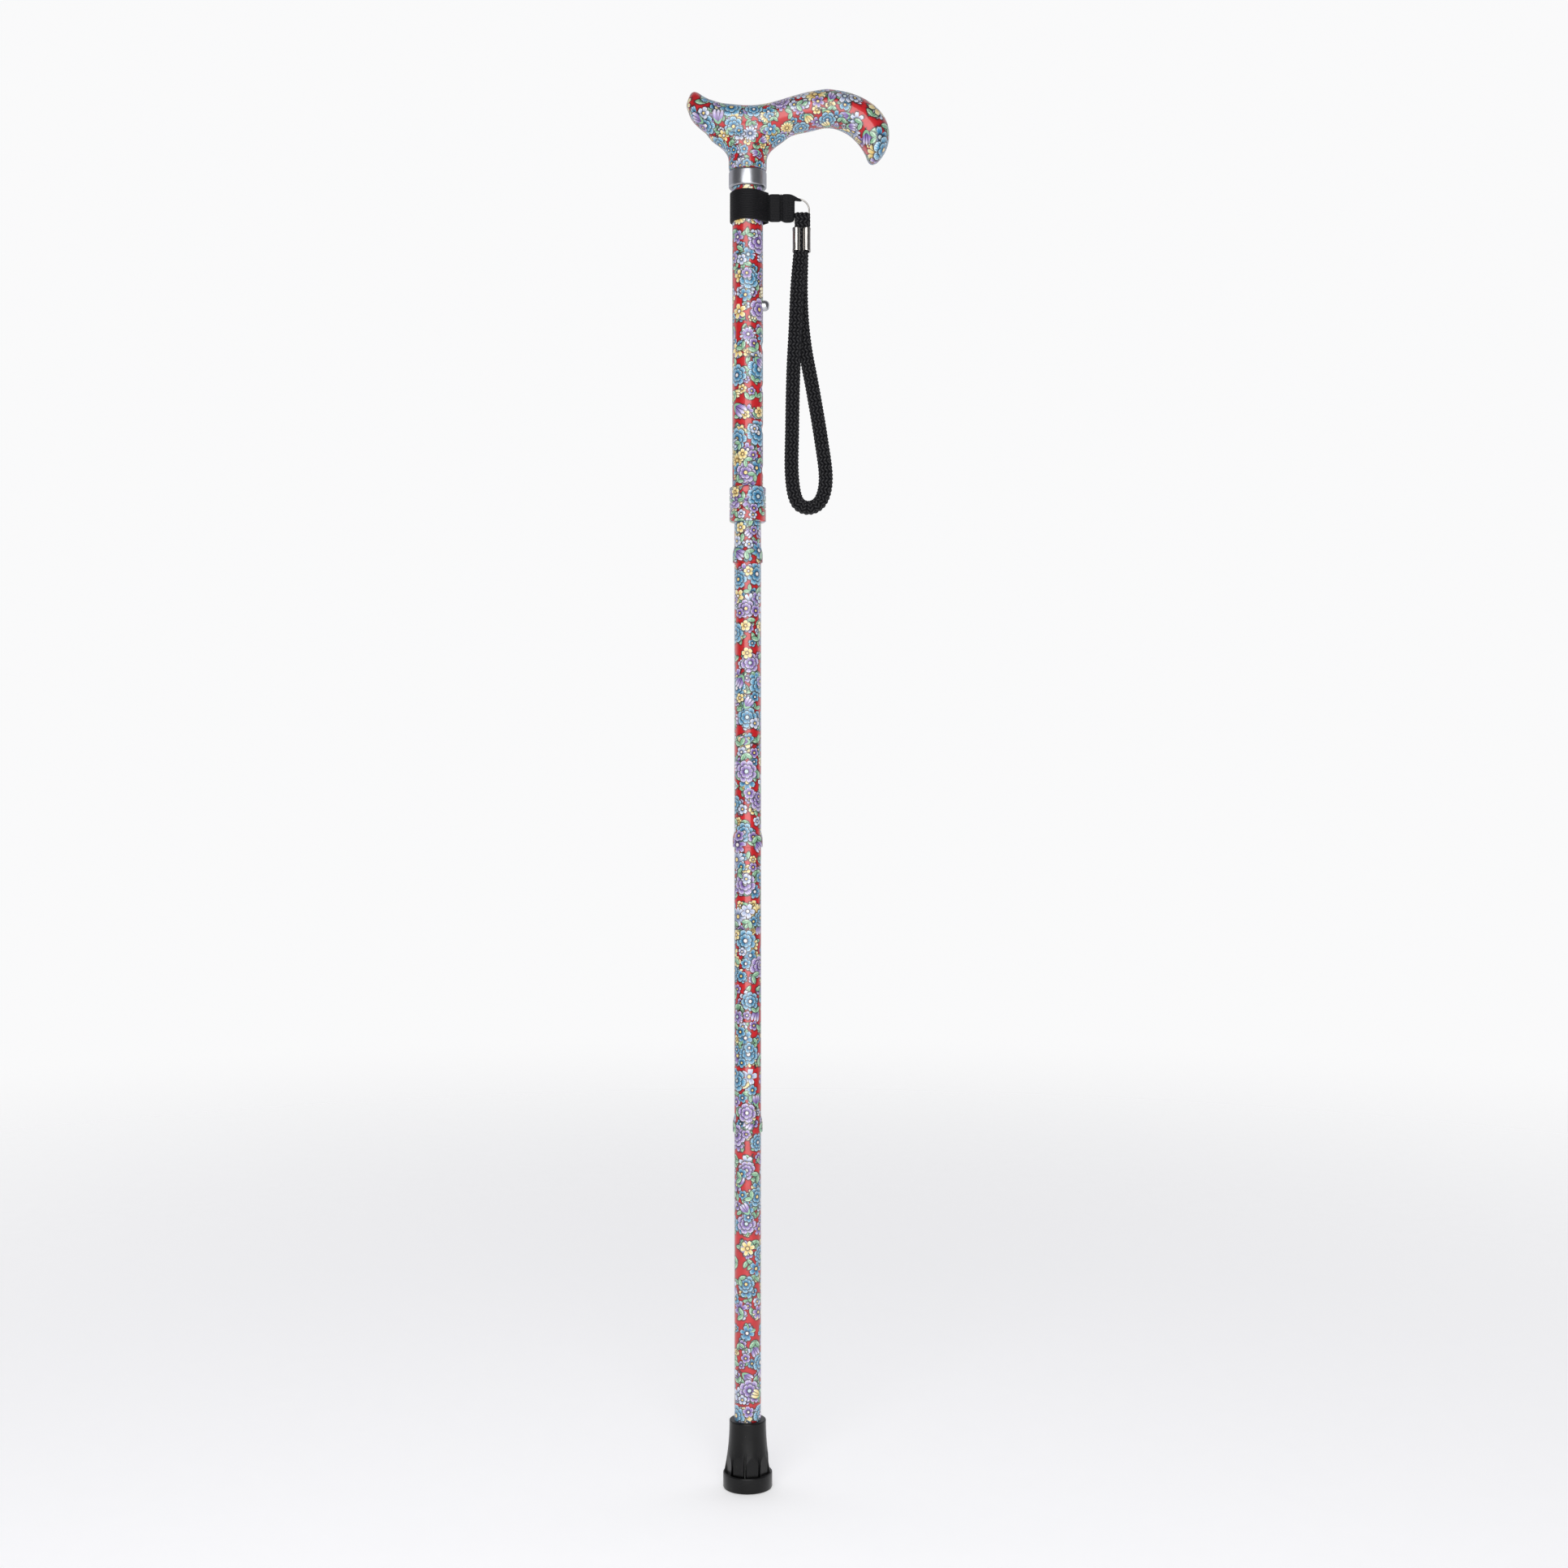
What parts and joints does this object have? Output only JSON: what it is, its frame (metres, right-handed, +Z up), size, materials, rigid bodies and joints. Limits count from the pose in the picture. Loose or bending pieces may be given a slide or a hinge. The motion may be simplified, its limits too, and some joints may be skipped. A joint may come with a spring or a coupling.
{
  "type": "folding walking cane",
  "caption": "Height-adjustable folding walking cane: derby handle, telescoping upper tube with snap button, sprung pull-apart sections, wrist strap and rubber foot.",
  "frame": {"origin": "centre of the rubber foot's sole", "axes": "+Z up the shaft, +X towards the handle's hook, the snap button and the strap's tail, +Y to the back"},
  "size_m": [0.1257, 0.0304, 0.8637],
  "materials": {
    "print_tube": "glossy lacquer over a floral print on aluminium tube",
    "print_handle": "glossy lacquer over a floral print on moulded plastic",
    "print_lock": "glossy lacquer over a floral print on moulded plastic",
    "polished_metal": "polished",
    "nickel": "bright nickel plate",
    "spring_steel": "plain",
    "zinc": "zinc plate",
    "bare_aluminium": "drawn tube",
    "nylon": "satin",
    "elastic": "braided cover",
    "webbing": "ribbed elastic webbing",
    "thread": "sewing thread",
    "braid": "flat braided cord",
    "rubber": "satin moulded rubber"
  },
  "bodies": {
    "upper_shaft": {"handle": "print_handle", "handle_sleeve": "nylon", "tube_end_plug": "nylon", "collar_ring": "polished_metal", "upper_tube": "print_tube", "lock_bushing": "nylon"},
    "lock_ring": {"compression_ring": "nylon"},
    "lock_collar": {"lock_collar": "print_lock"},
    "strap_band": {"strap_webbing": "webbing", "strap_stitching": "thread"},
    "strap_ring": {"split_ring": "nickel"},
    "wrist_loop": {"wrist_cord": "braid", "cord_crimp": "nickel"},
    "inner_shaft": {"inner_tube": "print_tube", "button_spring": "spring_steel", "cord_anchor_upper": "nylon", "cord_stop_upper": "zinc", "shock_cord": "elastic"},
    "button": {"snap_button": "nickel"},
    "section_2": {"section_2": "print_tube", "spigot_2": "bare_aluminium", "cord_guide_2": "nylon"},
    "section_3": {"section_3": "print_tube", "spigot_3": "bare_aluminium", "cord_guide_3": "nylon"},
    "section_4": {"section_4": "print_tube", "spigot_4": "bare_aluminium", "cord_guide_4": "nylon", "cord_anchor_lower": "nylon", "cord_stop_lower": "zinc", "rubber_foot": "rubber", "foot_washer": "zinc"}
  },
  "joints": [
    {"name": "height_adjust", "type": "slide", "parent": "upper_shaft", "child": "inner_shaft", "axis": [0, 0, -1], "range_m": [0, 0.1016], "deforming": ["button_spring", "snap_button"]},
    {"name": "button_press", "type": "slide", "parent": "inner_shaft", "child": "button", "axis": [-1, 0, 0], "range_m": [0, 0.0052], "stiffness_N_per_m": 1200, "springref_m": -0.002, "deforming": ["button_spring"]},
    {"name": "lock_travel", "type": "slide", "parent": "upper_shaft", "child": "lock_ring", "axis": [0, 0, -1], "range_m": [0, 0.0015]},
    {"name": "lock_turn", "type": "hinge", "parent": "lock_ring", "child": "lock_collar", "pos_m": [0, 0, 0.607], "axis": [0, 0, -1], "range_deg": [0, 360]},
    {"name": "pull_section_2", "type": "slide", "parent": "inner_shaft", "child": "section_2", "axis": [0, 0, -1], "range_m": [0, 0.06], "stiffness_N_per_m": 150, "springref_m": -0.13, "deforming": ["shock_cord"]},
    {"name": "pull_section_3", "type": "slide", "parent": "section_2", "child": "section_3", "axis": [0, 0, -1], "range_m": [0, 0.06], "stiffness_N_per_m": 150, "springref_m": -0.13, "deforming": ["shock_cord"]},
    {"name": "pull_section_4", "type": "slide", "parent": "section_3", "child": "section_4", "axis": [0, 0, -1], "range_m": [0, 0.06], "stiffness_N_per_m": 150, "springref_m": -0.13, "deforming": ["shock_cord"]},
    {"name": "band_turn", "type": "hinge", "parent": "upper_shaft", "child": "strap_band", "pos_m": [0, 0, 0.7908], "axis": [0, 0, 1], "continuous": true},
    {"name": "ring_swing", "type": "hinge", "parent": "strap_band", "child": "strap_ring", "pos_m": [0.02397, 0, 0.7893], "axis": [0, 0, 1], "range_deg": [-60, 60], "deforming": ["strap_webbing"]},
    {"name": "cord_swing", "type": "hinge", "parent": "strap_ring", "child": "wrist_loop", "pos_m": [0.0333, 0, 0.78266], "axis": [1, 0, 0], "range_deg": [-80, 80], "deforming": ["wrist_cord"]}
  ],
  "couplings": [
    {"joint": "lock_turn", "follows": "lock_travel", "rad_per_m": 4188.8}
  ]
}
